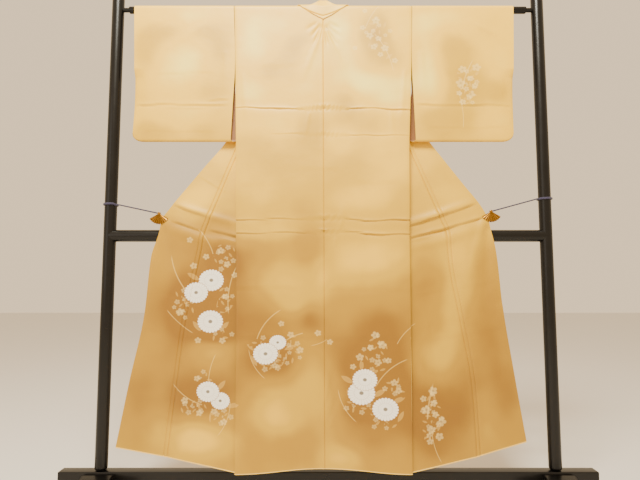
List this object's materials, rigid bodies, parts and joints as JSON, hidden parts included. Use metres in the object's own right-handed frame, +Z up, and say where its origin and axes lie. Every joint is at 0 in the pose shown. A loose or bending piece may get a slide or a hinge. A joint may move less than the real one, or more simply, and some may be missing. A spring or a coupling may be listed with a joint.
{
  "type": "homongi kimono on a kimono stand",
  "caption": "Gold and cream silk visiting kimono with white chrysanthemums, seen from its back on a black lacquered stand, its fronts drawn out by fan clips.",
  "frame": {"origin": "middle of the stand's footprint on the floor", "axes": "+X to the viewer's right, +Z up; the back of the kimono faces -Y and its fronts hang on the +Y side"},
  "size_m": [1.72, 0.36, 1.69],
  "materials": {
    "silk": "satin",
    "lacquer": "glossy black lacquer",
    "brass": "polished",
    "cord": "matt braid"
  },
  "bodies": {
    "root": {"back_left": "silk", "back_right": "silk", "front_left": "silk", "front_right": "silk", "overlap_left": "silk", "overlap_right": "silk", "collar": "silk", "sleeve_left": "silk", "sleeve_right": "silk", "post_left": "lacquer", "post_right": "lacquer", "hanging_rod": "lacquer", "middle_rail": "lacquer", "base_beam": "lacquer", "foot_left": "lacquer", "foot_right": "lacquer", "clip_left": "brass", "clip_right": "brass", "cord_left": "cord", "cord_right": "cord", "cord_wrap_left": "cord", "cord_wrap_right": "cord"}
  },
  "joints": []
}
